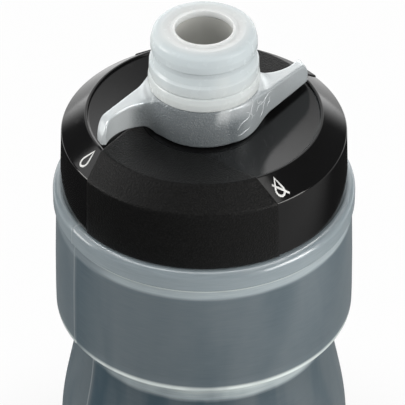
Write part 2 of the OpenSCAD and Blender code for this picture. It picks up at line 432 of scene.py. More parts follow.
class SilverFlake(Finish):
    """Silver plastic with flake and a cast skin, with painted shade on the hub's faces and the wings' sides
    and a painted highlight high on the hub.
    """

    FLANK_DEG: ClassVar[float] = 62.95
    HIGHLIGHT_DEG: ClassVar[float] = 45.97
    CLOUD: ClassVar[Colour] = (0.70, 0.73, 0.74)
    SHADE: ClassVar[Colour] = (0.10, 0.145, 0.175)
    HUB_SHADE: ClassVar[Colour] = (0.13, 0.155, 0.17)
    PALE: ClassVar[Colour] = (0.93, 0.94, 0.95)
    SPARK: ClassVar[Colour] = (0.92, 0.93, 0.95)

    def detail(self, graph: Graph) -> dict[str, Sock]:
        """Sparkle of single flakes, cloudy tone and the skin's small bumps, with painted shade on the wings'
        sides and the hub's faces and a painted highlight high on the hub.

        Args:
            graph: Node tree of the material.

        Returns:
            Values by the shader's socket.
        """
        flake = graph.flakes(6500.0)
        peel = graph.noise(2000.0, 2.0)
        x, y, z = graph.axes()
        out = x * x + y * y
        # Painted shade: beyond the planes of the wings' straight sides, and so on those sides, the silver is
        # darker, a little more near the hub.
        flank = abs(facing(x, y, self.FLANK_DEG)).ease(11.9, 12.4)
        # Painted shade: the hub's front and back faces near the wing roots are darkened, less under the
        # painted highlight; the same mask makes the skin's bumps stronger and the flakes a little brighter
        # there.
        root = out.ease(300.0, 215.0).maximum(out.ease(390.0, 230.0) * z.ease(182.3, 181.0))
        # Painted highlight: a pale patch on the upper hub, on two opposite sides.
        painted_highlight = abs(facing(x, y, self.HIGHLIGHT_DEG)).ease(12.1, 12.8) * z.ease(179.6, 184.0)
        skin_and_shade = abs(y).ease(5.585, 10.372) * root * (1 - painted_highlight * 0.85)
        tone = graph.mix(graph.noise(120.0, 3.0, 0.8), self.colour, self.CLOUD)
        tone = graph.mix(flank * (0.28 + out.ease(600.0, 200.0) * 0.07), tone, self.SHADE)
        tone = graph.mix(skin_and_shade * 0.76, graph.mix(painted_highlight * 0.2, tone, self.PALE), self.HUB_SHADE)
        return {
            "Base Color": graph.mix(flake.ease(0.8, 1.0) * (0.1 + skin_and_shade * 0.1), tone, self.SPARK),
            "Roughness": self.roughness + (flake - 0.5) * 0.12,
            "Normal": graph.bump(peel * (0.2 + skin_and_shade), 0.3, 0.8),
        }


class MilkySilicone(Finish):
    """Soft milky bluish silicone with painted glow: paler near the axis and creamier toward the foot."""

    def detail(self, graph: Graph) -> dict[str, Sock]:
        """Painted glow by height and near the axis, a faint cloud, and a satin skin.

        Args:
            graph: Node tree of the material.

        Returns:
            Values by the shader's socket.
        """
        x, y, z = graph.axes()
        cloud = graph.noise(90.0, 1.0, 0.0, (1.0, 1.5)).ease(0.5, 0.8)
        # Painted glow: paler near the axis, round the bore and on the inner part of the top, and creamier
        # toward the foot; the faint cloud is the silicone's own.
        rim_glow = (x * x + y * y).ease(138.0, 66.0)
        foot = z.ease(194.0, 186.0) * 0.4
        body = graph.mix(foot.maximum(cloud * 0.3), self.colour, (0.71, 0.715, 0.685))
        return {
            "Base Color": graph.mix(rim_glow, body, (0.68, 0.70, 0.70)),
            "Roughness": self.uneven(graph, 500.0, 0.12),
            "Normal": graph.bump(graph.noise(1200.0, 1.0), 0.02, 0.1),
        }


class PrintedLine(Finish):
    """Printed ink with slightly worn cover."""

    def detail(self, graph: Graph) -> dict[str, Sock]:
        """Thin spots in the ink.

        Args:
            graph: Node tree of the material.

        Returns:
            Values by the shader's socket.
        """
        thin = graph.noise(2400.0, 3.0).ease(0.62, 0.8)
        return {"Base Color": graph.mix(thin * 0.5, self.colour, (0.45, 0.45, 0.44)),
                "Roughness": self.roughness + thin * 0.1}


SMOKY = SmokyBottle("smoky_polyethylene", (0.132, 0.158, 0.174), 0.22, {
    "IOR": 1.5, "Coat Weight": 0.3, "Coat Roughness": 0.08,
    "Sheen Weight": 0.3, "Sheen Roughness": 0.45, "Sheen Tint": (0.80, 0.90, 0.95, 1.0),
    "Subsurface Weight": 0.2, "Subsurface Radius": (0.002, 0.0022, 0.0024), "Subsurface Scale": 1.0})
GLOSS = GlossBlack("gloss_black_plastic", (0.004, 0.004, 0.0042), 0.13, {"IOR": 1.49})
MATTE = MatteGrip("matte_black_grip", (0.0045, 0.0045, 0.0045), 0.42, {
    "IOR": 1.45, "Specular IOR Level": 0.36})
SILVER = SilverFlake("silver_flake_plastic", (0.60, 0.645, 0.66), 0.34, {
    "Metallic": 0.35, "Coat Weight": 0.25, "Coat Roughness": 0.12})
SILICONE = MilkySilicone("milky_sleeve", (0.545, 0.60, 0.62), 0.26, {
    "IOR": 1.41, "Alpha": 0.94, "Specular IOR Level": 0.35, "Coat Weight": 0.1, "Coat Roughness": 0.15,
    "Subsurface Weight": 0.45, "Subsurface Radius": (0.003, 0.0031, 0.0032), "Subsurface Scale": 1.0})
SPOUT = Finish("spout_plastic", (0.48, 0.48, 0.455), 0.3)
FLOW = Finish("flow_mark", (0.70, 0.73, 0.75), 0.36, {"Metallic": 0.2})
INK = PrintedLine("white_ink", (0.80, 0.80, 0.78), 0.5)
SEAL = MilkySilicone("soft_seal", (0.62, 0.63, 0.64), 0.42, {
    "Subsurface Weight": 0.4, "Subsurface Radius": (0.002,) * 3, "Subsurface Scale": 1.0})
RUBBER = MatteGrip("ring_rubber", (0.02, 0.02, 0.02), 0.6)


# Meshes


def rounded(corners: Sequence[Corner], closed: bool = False, step_deg: float = 9.0) -> list[Point]:
    """Turn corners with fillet radii into an outline.

    Args:
        corners: Radius, height and fillet radius of each corner.
        closed: Whether the last corner joins the first.
        step_deg: Turn between points of an arc.

    Returns:
        Points of the outline.
    """
    count = len(corners)
    points: list[Point] = []
    for index, (x, y, fillet) in enumerate(corners):
        if fillet <= 0.0 or (not closed and index in (0, count - 1)):
            points.append((x, y))
            continue
        here = Vector((x, y))
        before = Vector(corners[index - 1][:2]) - here
        after = Vector(corners[(index + 1) % count][:2]) - here
        bend = before.angle(after)
        reach = fillet / math.tan(bend / 2.0)
        room = 0.48 * min(before.length, after.length)
        if reach > room:
            fillet *= room / reach
            reach = room
        start = here + before.normalized() * reach
        end = here + after.normalized() * reach
        way = (before.normalized() + after.normalized()).normalized()
        centre = here + way * fillet / math.sin(bend / 2.0)
        turn = math.pi - bend
        steps = max(2, math.ceil(math.degrees(turn) / step_deg))
        first = start - centre
        sense = math.copysign(1.0, first.cross(end - centre))
        for part in range(steps + 1):
            angle = sense * turn * part / steps
            cos, sin = math.cos(angle), math.sin(angle)
            out = centre.x + first.x * cos - first.y * sin
            up = centre.y + first.x * sin + first.y * cos
            points.append((out, up))
    return points


def polar(radius: float, turn: float, height: float) -> Point3:
    """Point at a radius, a turn round the axis and a height."""
    return radius * math.cos(turn), radius * math.sin(turn), height


def tube_faces(base: int, rings: int, width: int, loop: bool = False) -> Faces:
    """Faces of a tube, capped unless it is a loop.

    Args:
        base: Number of the tube's first point; the others follow ring by ring.
        rings: Number of rings.
        width: Points in a ring.
        loop: Whether the last ring joins the first.

    Returns:
        The faces.
    """
    rows = [list(range(base + ring * width, base + (ring + 1) * width)) for ring in range(rings)]
    faces = [] if loop else [rows[0][::-1], rows[-1]]
    for low, high in list(zip(rows, rows[1:])) + ([(rows[-1], rows[0])] if loop else []):
        for column in range(width):
            after = (column + 1) % width
            faces.append([low[column], low[after], high[after], high[column]])
    return faces


def mesh_piece(name: str, verts: Sequence[Sequence[float]], faces: Sequence[Sequence[int]],
               finish: Finish) -> bpy.types.Object:
    """Make a smooth-shaded mesh object.

    Args:
        name: Name of the piece.
        verts: Points in millimetres; those at the same place become one.
        faces: Corners of each face; a face that closes up is left out.
        finish: Finish of the surface.

    Returns:
        The object, linked to the scene.
    """
    numbers: dict[tuple[float, ...], int] = {}
    joined = [numbers.setdefault(tuple(vert), len(numbers)) for vert in verts]
    corners = [list(dict.fromkeys(joined[corner] for corner in face)) for face in faces]
    data = bpy.data.meshes.new(name)
    data.from_pydata((np.array(list(numbers)) * MM).tolist(), [], [face for face in corners if len(face) > 2])
    data.validate()
    data.polygons.foreach_set("use_smooth", [True] * len(data.polygons))
    data.materials.append(finish.material())
    data.update()
    made = bpy.data.objects.new(name, data)
    bpy.context.scene.collection.objects.link(made)
    return made


def even_turns(count: int, lines: Sequence[float] = ()) -> list[float]:
    """Bearings round the axis in radians, with extra ones close to the given lines in degrees.

    Args:
        count: Number of even bearings.
        lines: Bearings in degrees that get close neighbours.

    Returns:
        The bearings in order.
    """
    turns = {360.0 * index / count for index in range(count)}
    near = (0.12, 0.26, 0.42, 0.7)
    for line in lines:
        turns.update((line + offset) % 360.0 for offset in (0.0, *near, *(-gap for gap in near)))
    return [math.radians(turn) for turn in sorted(turns)]


def lathe(name: str, outline: Sequence[Point], finish: Finish, turns: Sequence[float], closed: bool = False,
          swell: Optional[Callable[[float, float, float], float]] = None) -> bpy.types.Object:
    """Turn an outline round the axis.

    Args:
        name: Name of the piece.
        outline: Radius and height of each point; an open one starts and ends on the axis.
        finish: Finish of the surface.
        turns: Bearings of the columns.
        closed: Whether the outline is a loop clear of the axis.
        swell: Extra radius by radius, height and bearing.

    Returns:
        The piece.
    """
    verts = [polar(radius + (swell(radius, height, turn) if swell else 0.0), turn, height)
             for radius, height in outline for turn in turns]
    return mesh_piece(name, verts, tube_faces(0, len(outline), len(turns), closed), finish)


def dress(piece: bpy.types.Object, body: Body, slot: Slot, *nodes: str) -> bpy.types.Object:
    """Let a piece ride on a body and stand for nodes of the frame.

    Args:
        piece: The piece.
        body: Body that it rides on.
        slot: Not used.
        nodes: Nodes that it replaces.

    Returns:
        The piece.
    """
    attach(piece, body.value)
    if nodes:
        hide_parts(*nodes)
    LOG.info("%s rides on %s, %d faces", piece.name, body.value, len(piece.data.polygons))
    return piece


def thread_lugs(name: str, root: float, side: float, start: float, lugs: int,
                finish: Finish) -> bpy.types.Object:
    """Make a vented screw thread as rounded helical lugs.

    Args:
        name: Name of the piece.
        root: Radius of the wall that carries the thread.
        side: 1 for an outer thread and -1 for an inner one.
        start: Height of the middle of the first lug.
        lugs: Number of lugs, six to a turn.
        finish: Finish of the surface.

    Returns:
        The piece.
    """
    section = rounded([(-0.5, -1.1, 0), (THREAD_DEPTH, -0.6, 0.3), (THREAD_DEPTH, 0.6, 0.3), (-0.5, 1.1, 0)],
                      step_deg=20.0)
    if side > 0.0:
        section.reverse()  # keeps the faces looking outwards
    verts: list[Point3] = []
    faces: Faces = []
    step, length, stations = 60.0, 50.0, 14
    for lug in range(lugs):
        faces += tube_faces(len(verts), stations + 1, len(section))
        for station in range(stations + 1):
            share = station / stations
            turn = lug * step + (share - 0.5) * length
            taper = math.sin(math.pi * min(1.0, max(0.0, 0.5 - abs(share - 0.5)) * 6.0) / 2.0)
            for out, up in section:
                radius = root + side * (out if out < 0.0 else out * taper)
                height = start + THREAD_PITCH * turn / 360.0 + up * (0.55 + 0.45 * taper)
                verts.append(polar(radius, math.radians(turn), height))
    return mesh_piece(name, verts, faces, finish)


@dataclass
class Bottle:
    """The blown squeeze bottle with its neck thread."""

    cage_r: float = 36.75
    lower_h: float = 78.0
    waist_r: float = 31.8
    waist_z: float = 115.0
    band_r: float = 36.9
    band_z: float = 118.6
    crease_z: float = 150.1
    shoulder_z: float = 155.4
    neck_r: float = 30.4
    neck_top: float = 167.5
    mouth_r: float = 28.6
    wall: float = 1.3
    foot_z: float = 3.0
    parting_deg: tuple[float, float] = (PARTING_DEG + 180.0, PARTING_DEG)

    def flare(self, inset: float, steps: int = 20) -> list[Corner]:
        """Smooth flare from the lower body to the waist, drawn in by inset.

        Args:
            inset: How far it is drawn in.
            steps: Number of steps.

        Returns:
            Corners without fillets.
        """
        deep = (self.cage_r - self.waist_r) / 2.0
        rise = self.waist_z - self.lower_h
        shares = [index / steps for index in range(steps + 1)]
        return [(self.cage_r - inset - deep * (1.0 - math.cos(math.pi * share)),
                 self.lower_h + rise * share, 0.0) for share in shares]

    def outline(self) -> list[Point]:
        """Outside from the base to the rim, then the inside back to the axis.

        Returns:
            Points of the outline.
        """
        crease, shoulder, band = self.crease_z, self.shoulder_z, self.band_z
        cage, ring, wall, foot = self.cage_r, self.band_r, self.wall, self.foot_z
        outside: list[Corner] = [
            (0.0, foot, 0.0), (20.0, foot, 3.0), (27.0, 0.0, 1.5), (cage, 0.0, 6.0), *self.flare(0.0),
            (self.waist_r, band - 0.2, 2.0), (ring, band, 1.2), (ring, band + 5.0, 12.0),
            (ring - 0.25, band + 16.0, 30.0), (ring - 0.75, crease - 2.3, 1.2),
            (ring - 1.2, crease - 0.1, 0.15), (cage, crease + 0.1, 0.7), (cage, shoulder, 1.9),
            (self.neck_r + 0.4, shoulder, 0.3), (self.neck_r, shoulder + 0.4, 0.3),
            (self.neck_r, self.neck_top, 0.5), (self.mouth_r, self.neck_top, 0.5)]
        inside: list[Corner] = [
            (self.mouth_r, shoulder - 2.0, 1.0), (cage - 3.0, shoulder - 2.6, 0.8),
            (cage - 2.1, crease + 1.5, 0.8), (ring - 1.2 - wall, crease, 0.6),
            (ring - 0.75 - wall, crease - 2.4, 1.0), (ring - wall, band + 3.0, 1.0),
            (ring - 2.6, band + wall, 0.8), (self.waist_r + 0.5, band + wall, 1.0),
            *reversed(self.flare(wall)), (cage - wall, wall, 4.7), (27.6, wall, 1.0),
            (19.6, foot + wall, 2.0), (0.0, foot + wall, 0.0)]
        return rounded(outside + inside)

    def parting(self, radius: float, height: float, turn: float) -> float:
        """Height of the mould's parting ridge at a point of the outside.

        Args:
            radius: Radius of the point.
            height: Height of the point.
            turn: Bearing in radians.

        Returns:
            How far the ridge stands out.
        """
        inner = self.waist_r - 0.05 if height < self.band_z else self.band_r - 1.3
        if height > self.shoulder_z or height < 6.0 or radius < inner:
            return 0.0
        gaps = [abs((math.degrees(turn) - line + 180.0) % 360.0 - 180.0) for line in self.parting_deg]
        return 0.13 * math.exp(-((min(gaps) / 0.2) ** 2))

    def build(self) -> None:
        """Make the shell and the thread."""
        turns = even_turns(180, self.parting_deg)
        shell = lathe("bottle_shell", self.outline(), SMOKY, turns, swell=self.parting)
        dress(shell, Body.BOTTLE, Slot.BOTTLE, "bottle")
        lugs = thread_lugs("neck_thread", self.neck_r, 1.0, self.shoulder_z + 2.0, 11, SMOKY)
        dress(lugs, Body.BOTTLE, Slot.BOTTLE)


@dataclass
class Cap:
    """The screw cap, its grip panels, its inner thread and its printed marks."""

    bottom: float = 155.9
    skirt_r: float = 34.9
    inner_r: float = 32.3
    roof: Point = (26.2, 169.3)
    post_r: float = 9.5
    bore_r: float = 6.4
    plate_z: float = 181.4
    shoulder: Point = (34.25, 171.0)
    dish: Point = (28.42, 175.5)
    seat: Point = (14.6, 174.3)
    proud: float = 0.3
    sunk: float = 0.35
    seam_r: float = 12.3
    seam_half: float = 41.3
    seam_swirl: float = 21.2
    grip_inner_r: float = 15.2
    mark_bearings: tuple[float, float] = (-49.0, 45.0)

    def section(self) -> list[Point]:
        """Loop of the cap's wall.

        Returns:
            The points written here, from the post over the dish and skirt to the inside, in the
            other order, so that the faces look outwards.
        """
        (sx, sz), (dx, dz), (seat_r, seat) = self.shoulder, self.dish, self.seat
        post, low, (roof_r, roof) = self.post_r, self.bottom, self.roof
        return rounded([
            (self.bore_r, self.plate_z, 0.2), (post, self.plate_z, 0.4), (post, 179.85, 0.1),
            (post + 0.4, 179.45, 0.1), (post + 0.4, 179.05, 0.1), (post, 178.65, 0.1),
            (post, 177.35, 0.1), (post - 1.6, 177.35, 0.1), (post - 1.6, 175.65, 0.1), (post, 175.65, 0.1),
            (post, seat - 0.1, 0.2), (seat_r - 0.3, seat - 0.1, 0.1), (seat_r, seat, 0.1),
            (dx - 0.85, dz - 0.42, 0.4), (dx - 0.5, dz, 0.3), (dx + 0.05, dz, 0.35), (sx, sz, 0.9),
            (self.skirt_r, low, 0.3), (self.inner_r + 0.5, low, 0.2), (self.inner_r, low + 1.0, 0.2),
            (self.inner_r, roof, 0.4), (roof_r, roof, 0.3), (roof_r - 0.6, roof + 2.3, 0.5),
            (self.bore_r, roof + 2.3, 0.5)], closed=True)[::-1]

    def seam(self, radius: float, side: int) -> float:
        """Bearing in radians of a panel seam at a radius; side is -1 left and 1 right, from the front."""
        line = -90.0 + self.seam_swirl + side * self.seam_half
        return math.radians(line) - math.asin(self.seam_r / radius)

    def grip(self, name: str, turn: float) -> bpy.types.Object:
        """Make one grip panel, whose top and back meet at the border.

        Args:
            name: Name of the piece.
            turn: Turn from the front in radians.

        Returns:
            The piece.
        """
        path = rounded([(self.grip_inner_r, self.seat[1] + 0.05, 0.0), (*self.dish, 0.5),
                        (*self.shoulder, 0.9), (self.skirt_r, self.bottom, 0.0)], step_deg=5.0)
        line = np.array(path)
        lengths = np.concatenate([[0.0], np.cumsum(np.linalg.norm(np.diff(line, axis=0), axis=1))])
        total = lengths[-1]
        soft, steps = 0.17, 56
        edge = [(0.0, -self.sunk), (0.0, self.proud - soft), (0.05, self.proud - 0.06), (soft, self.proud)]
        inner = [place for place in lengths if 0.4 < place < total - 0.4]
        even = list(np.arange(0.6, total - 0.4, 0.8))
        rows = edge + [(place, self.proud) for place in sorted(inner + even)]
        rows += [(total - inset, lift) for inset, lift in reversed(edge)]
        columns = [(0, inset, lift) for inset, lift in edge]
        columns += [(index / steps, soft, self.proud) for index in range(1, steps)]
        columns += [(1, inset, lift) for inset, lift in reversed(edge)]
        curves = (*line.T, *np.gradient(line, axis=0).T)
        tops: list[Point3] = []
        backs: list[Point3] = []
        for place, row_lift in rows:
            radius, height, run, rise = (float(np.interp(place, lengths, curve)) for curve in curves)
            normal = Vector((-rise, run)).normalized()
            left, right = self.seam(radius, -1), self.seam(radius, 1)
            for share, inset, column_lift in columns:
                low, high = left + inset / radius, right - inset / radius
                bearing = turn + low + (high - low) * share
                for store, lift in ((tops, min(row_lift, column_lift)), (backs, -self.sunk)):
                    store.append(polar(radius + normal.x * lift, bearing, height + normal.y * lift))
        faces: Faces = []
        wide, offset = len(columns), len(tops)
        for row in range(len(rows) - 1):
            for a in range(row * wide, row * wide + wide - 1):
                faces.append([a, a + wide, a + wide + 1, a + 1])
                faces.append([offset + a, offset + a + 1, offset + a + wide + 1, offset + a + wide])
        return mesh_piece(name, tops + backs, faces, MATTE)

    def on_slope(self, out: float, across: float, bearing: float, lift: float) -> Point3:
        """Point on the slope from a plan place, along and across a bearing in degrees from the front.

        Args:
            out: Distance along the bearing.
            across: Distance across it.
            bearing: The bearing.
            lift: Height over the slope.

        Returns:
            The point.
        """
        turn = math.radians(bearing - 90.0)
        x = out * math.cos(turn) - across * math.sin(turn)
        y = out * math.sin(turn) + across * math.cos(turn)
        (dx, dz), (sx, sz) = self.dish, self.shoulder
        slope = (sz - dz) / (sx - dx)
        return x, y, dz + (math.hypot(x, y) - dx) * slope + lift

    def mark(self, name: str, bearing: float, barred: bool) -> bpy.types.Object:
        """Print a drop on the slope, with a bar across it if asked.

        Args:
            name: Name of the piece.
            bearing: Degrees from the front.
            barred: Whether it has a bar.

        Returns:
            The piece.
        """
        middle, bulb, tip, ink = 32.1, 1.06, 2.62, 0.21
        lean = math.acos(bulb / tip)
        spread = [math.pi - lean - (2.0 * math.pi - 2.0 * lean) * index / 28 for index in range(29)]
        drop = [(middle + bulb * math.cos(angle), bulb * math.sin(angle)) for angle in spread]
        drop.append((middle - tip, 0.0))
        strokes: list[tuple[list[Point], bool]] = [(drop, True)]
        if barred:
            slant = math.radians(52.0)
            bar = [(middle - 0.25 + part * math.cos(slant), 0.33 + part * math.sin(slant))
                   for part in (-2.1, 0.0, 2.1)]
            strokes.append((bar, False))
        verts: list[Point3] = []
        faces: Faces = []
        under, over = -0.1, 0.09
        for stroke, loop in strokes:
            count = len(stroke)
            faces += tube_faces(len(verts), count, 4, loop)
            for index, (out, across) in enumerate(stroke):
                before = stroke[index - 1] if loop or index else stroke[0]
                after = stroke[(index + 1) % count] if loop or index + 1 < count else stroke[-1]
                way = Vector((after[0] - before[0], after[1] - before[1])).normalized()
                wide = ink * (1.25 if loop and index == count - 1 else 1.0)
                for side, lift in ((-wide, under), (wide, under), (wide, over), (-wide, over)):
                    verts.append(self.on_slope(out - side * way.y, across + side * way.x, bearing, lift))
        return mesh_piece(name, verts, faces, INK)

    def port_plate(self) -> bpy.types.Object:
        """Plate with two ports that closes the post's bore.

        Returns:
            The piece.
        """
        columns, step = 90, 4.0
        radii, ports = (0.0, 1.8, 5.8, 6.45), (40.0, 140.0)
        kept: set[tuple[int, int]] = set()
        for ring in range(len(radii) - 1):
            for column in range(columns):
                bearing = (step * (column + 0.5)) % 180.0
                if ring != 1 or ports[0] < bearing < ports[1]:
                    kept.add((ring, column))
        verts = [polar(radius, math.radians(step * column), height)
                 for height in (self.plate_z - 1.5, self.plate_z) for radius in radii
                 for column in range(columns)]

        def spot(level: int, ring: int, column: int) -> int:
            """Number of a point of the plate."""
            return (level * len(radii) + ring) * columns + column % columns

        faces: Faces = []
        for ring, column in kept:
            cell = [(ring, column), (ring + 1, column), (ring + 1, column + 1), (ring, column + 1)]
            sides = [(0, 1, (ring, (column - 1) % columns)), (1, 2, (ring + 1, column)),
                     (2, 3, (ring, (column + 1) % columns)), (3, 0, (ring - 1, column))]
            for level, order in ((1, 1), (0, -1)):
                faces.append([spot(level, *corner) for corner in cell][::order])
            for first, second, beside in sides:
                if beside not in kept:
                    a, b = cell[first], cell[second]
                    faces.append([spot(0, *a), spot(0, *b), spot(1, *b), spot(1, *a)])
        return mesh_piece("port_plate", verts, faces, GLOSS)

    def build(self) -> None:
        """Make the cap and everything that turns with it."""
        shell = lathe("cap_shell", self.section(), GLOSS, even_turns(180), closed=True)
        dress(shell, Body.CAP, Slot.GLOSS, "cap")
        dress(self.port_plate(), Body.CAP, Slot.GLOSS)
        lugs = thread_lugs("cap_thread", self.inner_r, -1.0, self.bottom + 4.0, 6, GLOSS)
        dress(lugs, Body.CAP, Slot.GLOSS)
        dress(self.grip("grip_front", 0.0), Body.CAP, Slot.MATTE, "front_grip")
        dress(self.grip("grip_rear", math.pi), Body.CAP, Slot.MATTE, "rear_grip")
        opened, closed = self.mark_bearings
        dress(self.mark("mark_open", opened, False), Body.CAP, Slot.PRINT, "open_mark")
        dress(self.mark("mark_closed", closed, True), Body.CAP, Slot.PRINT, "closed_mark")


class Field:
    """A solid as a distance field, turned into a mesh by a surface net."""

    def __init__(self, distance: Callable[[np.ndarray], np.ndarray], low: Point3, high: Point3,
                 step: float) -> None:
        """Keep the field, its box and its cell size.

        Args:
            distance: Distance to the surface at points, less than 0 inside.
            low: Low corner of the box.
            high: High corner of the box.
            step: Size of a cell.
        """
        self.distance = distance
        self.low = np.array(low, float)
        self.step = step
        self.count = np.ceil((np.array(high, float) - self.low) / step).astype(int) + 1

    def net(self) -> tuple[np.ndarray, np.ndarray]:
        """Find the surface.

        Returns:
            Points and four-cornered faces.
        """
        axes = [self.low[axis] + self.step * np.arange(self.count[axis]) for axis in range(3)]
        grid = np.stack(np.meshgrid(*axes, indexing="ij"), -1)
        values = self.distance(grid.reshape(-1, 3)).reshape(self.count)
        cells = self.count - 1
        total = np.zeros((*cells, 3))
        hits = np.zeros(cells)
        corners = [(a, b, c) for a in (0, 1) for b in (0, 1) for c in (0, 1)]

        def shifted(corner: tuple[int, int, int]) -> np.ndarray:
            """Values at one corner of every cell."""
            a, b, c = corner
            return values[a:a + cells[0], b:b + cells[1], c:c + cells[2]]

        for first in corners:
            for axis in range(3):
                if first[axis]:
                    continue
                second = tuple(1 if place == axis else first[place] for place in range(3))
                one, two = shifted(first), shifted(second)
                cross = (one < 0.0) != (two < 0.0)
                share = np.where(cross, one / np.where(cross, one - two, 1.0), 0.0)
                for place in range(3):
                    moved = first[place] + (share if place == axis else 0.0)
                    total[..., place] += np.where(cross, moved, 0.0)
                hits += cross
        used = hits > 0
        number = np.full(cells, -1)
        number[used] = np.arange(int(used.sum()))
        origin = np.stack(np.nonzero(used), -1)
        points = self.low + self.step * (origin + total[used] / hits[used][:, None])
        return self.settle(points), self.faces(values < 0.0, number)

    def faces(self, inside: np.ndarray, number: np.ndarray) -> np.ndarray:
        """Faces between the cells round every grid edge that the surface crosses.

        Args:
            inside: Whether each grid point is inside.
            number: Number of each cell's point.

        Returns:
            Four-cornered faces.
        """
        found = []
        for axis in range(3):
            u, v = (axis + 1) % 3, (axis + 2) % 3
            low = [slice(None)] * 3
            high = [slice(None)] * 3
            low[axis], high[axis] = slice(0, -1), slice(1, None)
            one, two = inside[tuple(low)], inside[tuple(high)]
            spots = np.stack(np.nonzero(one != two), -1)
            outward = one[tuple(spots.T)]
            keep = np.all([(spots[:, side] > 0) & (spots[:, side] < number.shape[side])
                           for side in (u, v)], axis=0)
            spots, outward = spots[keep], outward[keep]
            ring = []
            for back_u, back_v in ((1, 1), (0, 1), (0, 0), (1, 0)):
                cell = spots.copy()
                cell[:, u] -= back_u
                cell[:, v] -= back_v
                ring.append(number[tuple(cell.T)])
            quads = np.stack(ring, -1)
            quads[~outward] = quads[~outward][:, ::-1]
            found.append(quads)
        return np.concatenate(found)

    def slope(self, points: np.ndarray, small: float = 0.02) -> np.ndarray:
        """Slope of the field at points.

        Args:
            points: The points.
            small: Distance that it is measured over.

        Returns:
            The slopes.
        """
        steps = [self.distance(points + small * unit) - self.distance(points - small * unit)
                 for unit in np.eye(3)]
        return np.stack(steps, -1) / (2.0 * small)

    def settle(self, points: np.ndarray, rounds: int = 4) -> np.ndarray:
        """Move points onto the surface along the slope of the field.

        Args:
            points: The points.
            rounds: Number of moves.

        Returns:
            The moved points.
        """
        for _ in range(rounds):
            here, slope = self.distance(points), self.slope(points)
            steep = np.maximum((slope ** 2).sum(-1), 0.05)
            move = np.clip(here / steep, -0.5 * self.step, 0.5 * self.step)
            points = points - slope * move[:, None]
        return points


def soft_max(blend: float, *values: np.ndarray) -> np.ndarray:
    """Largest of several fields with edges rounded to about the blend.

    Args:
        blend: Width of the rounding.
        values: The fields.

    Returns:
        The joined field.
    """
    result = values[0]
    for value in values[1:]:
        mixed = np.maximum(blend - np.abs(result - value), 0.0) / blend
        result = np.maximum(result, value) + mixed ** 2 * blend / 4.0
    return result


def soft_min(blend: float, *values: np.ndarray) -> np.ndarray:
    """Smallest of several fields with inner corners filled to about the blend."""
    return -soft_max(blend, *[-value for value in values])


